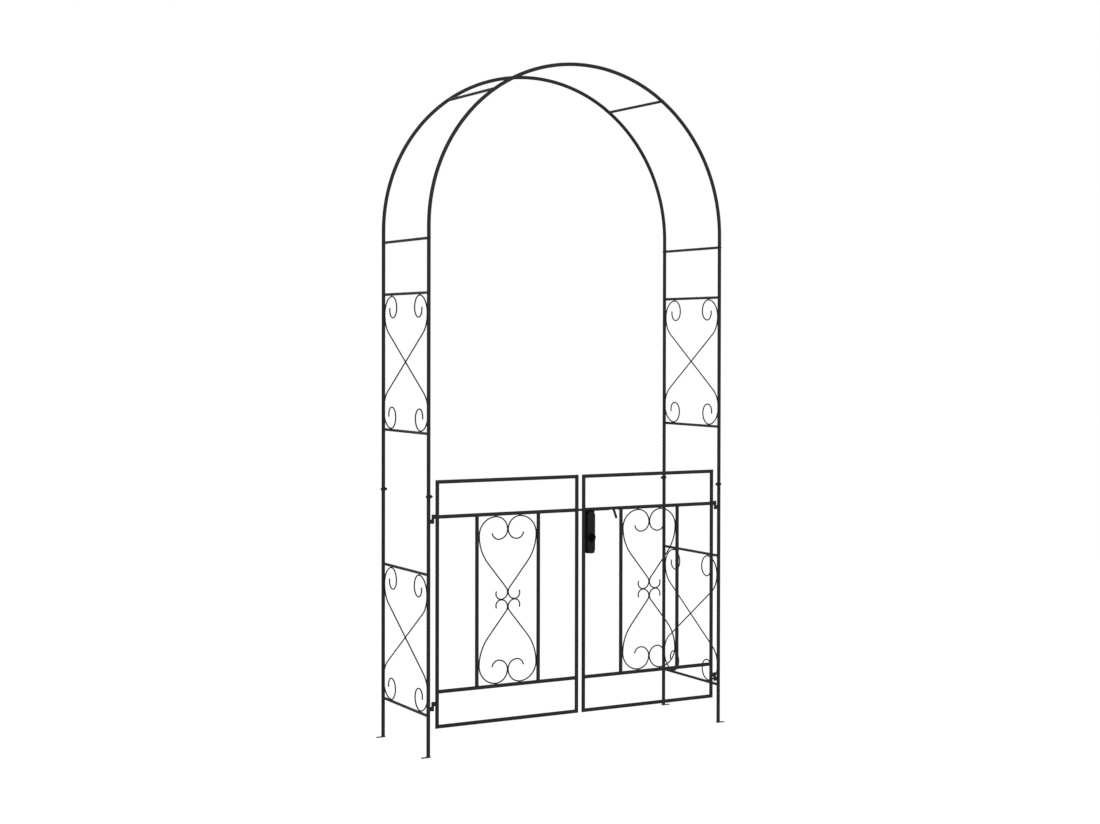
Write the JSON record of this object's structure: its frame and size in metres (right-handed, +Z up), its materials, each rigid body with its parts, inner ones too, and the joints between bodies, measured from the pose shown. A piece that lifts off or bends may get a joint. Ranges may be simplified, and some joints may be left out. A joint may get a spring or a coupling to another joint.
{
  "type": "garden arch with gate",
  "caption": "Round-topped garden arch of black steel tube with scrolled side panels and a double gate with hinges, a slide bolt and a lock.",
  "frame": {"origin": "on the ground under the middle of the whole object, knob included", "axes": "+Z up, +X to the right and -Y to the front, where the gate hangs"},
  "size_m": [1.192, 0.414, 2.3307],
  "materials": {
    "frame_paint": "satin",
    "wire_paint": "satin",
    "lock_paint": "satin",
    "bolt_paint": "satin"
  },
  "bodies": {
    "arch_frame": {"left_front_lower_post": "frame_paint", "left_front_upper_post": "frame_paint", "left_front_joint_bolt": "bolt_paint", "left_back_lower_post": "frame_paint", "left_back_upper_post": "frame_paint", "left_back_joint_bolt": "bolt_paint", "left_panel_bar_1": "frame_paint", "left_panel_bar_2": "frame_paint", "left_panel_bar_3": "frame_paint", "left_panel_bar_4": "frame_paint", "left_spring_bar": "frame_paint", "left_lower_scroll": "wire_paint", "left_upper_scroll": "wire_paint", "left_arch_bar": "frame_paint", "left_upper_pintle": "frame_paint", "left_lower_pintle": "frame_paint", "right_front_lower_post": "frame_paint", "right_front_upper_post": "frame_paint", "right_front_joint_bolt": "bolt_paint", "right_back_lower_post": "frame_paint", "right_back_upper_post": "frame_paint", "right_back_joint_bolt": "bolt_paint", "right_panel_bar_1": "frame_paint", "right_panel_bar_2": "frame_paint", "right_panel_bar_3": "frame_paint", "right_panel_bar_4": "frame_paint", "right_spring_bar": "frame_paint", "right_lower_scroll": "wire_paint", "right_upper_scroll": "wire_paint", "right_arch_bar": "frame_paint", "right_upper_pintle": "frame_paint", "right_lower_pintle": "frame_paint", "front_arch_left": "frame_paint", "front_arch_right": "frame_paint", "front_arch_crown": "frame_paint", "back_arch_left": "frame_paint", "back_arch_right": "frame_paint", "back_arch_crown": "frame_paint"},
    "left_leaf": {"left_leaf_frame": "frame_paint", "left_leaf_mid_rail": "frame_paint", "left_leaf_low_rail": "frame_paint", "left_leaf_hinge_upright": "frame_paint", "left_leaf_latch_upright": "frame_paint", "left_leaf_scroll": "wire_paint", "left_leaf_upper_eye": "frame_paint", "left_leaf_lower_eye": "frame_paint"},
    "right_leaf": {"right_leaf_frame": "frame_paint", "right_leaf_mid_rail": "frame_paint", "right_leaf_low_rail": "frame_paint", "right_leaf_hinge_upright": "frame_paint", "right_leaf_latch_upright": "frame_paint", "right_leaf_scroll": "wire_paint", "right_leaf_upper_eye": "frame_paint", "right_leaf_lower_eye": "frame_paint", "lock_case": "lock_paint", "lock_front_plate": "lock_paint", "lock_back_plate": "lock_paint"},
    "slide_bolt": {"slide_bolt": "bolt_paint"},
    "lock_knob": {"lock_knob": "lock_paint"},
    "deadbolt": {"deadbolt": "bolt_paint"}
  },
  "joints": [
    {"name": "left_leaf_hinge", "type": "hinge", "parent": "arch_frame", "child": "left_leaf", "pos_m": [-0.55425, -0.17695, 0.5], "axis": [0, 0, 1], "range_deg": [-110, 90]},
    {"name": "right_leaf_hinge", "type": "hinge", "parent": "arch_frame", "child": "right_leaf", "pos_m": [0.55425, -0.17695, 0.5], "axis": [0, 0, 1], "range_deg": [-90, 110]},
    {"name": "slide_bolt_slide", "type": "slide", "parent": "right_leaf", "child": "slide_bolt", "axis": [-1, 0, 0], "range_m": [-0.007, 0.009]},
    {"name": "knob_turn", "type": "hinge", "parent": "right_leaf", "child": "lock_knob", "pos_m": [0.0348, -0.17695, 0.6977], "axis": [0, -1, 0], "range_deg": [0, 90]},
    {"name": "deadbolt_throw", "type": "slide", "parent": "right_leaf", "child": "deadbolt", "axis": [-1, 0, 0], "range_m": [0, 0.021]}
  ],
  "couplings": [
    {"joint": "deadbolt_throw", "follows": "knob_turn", "m_per_rad": 0.01336}
  ]
}
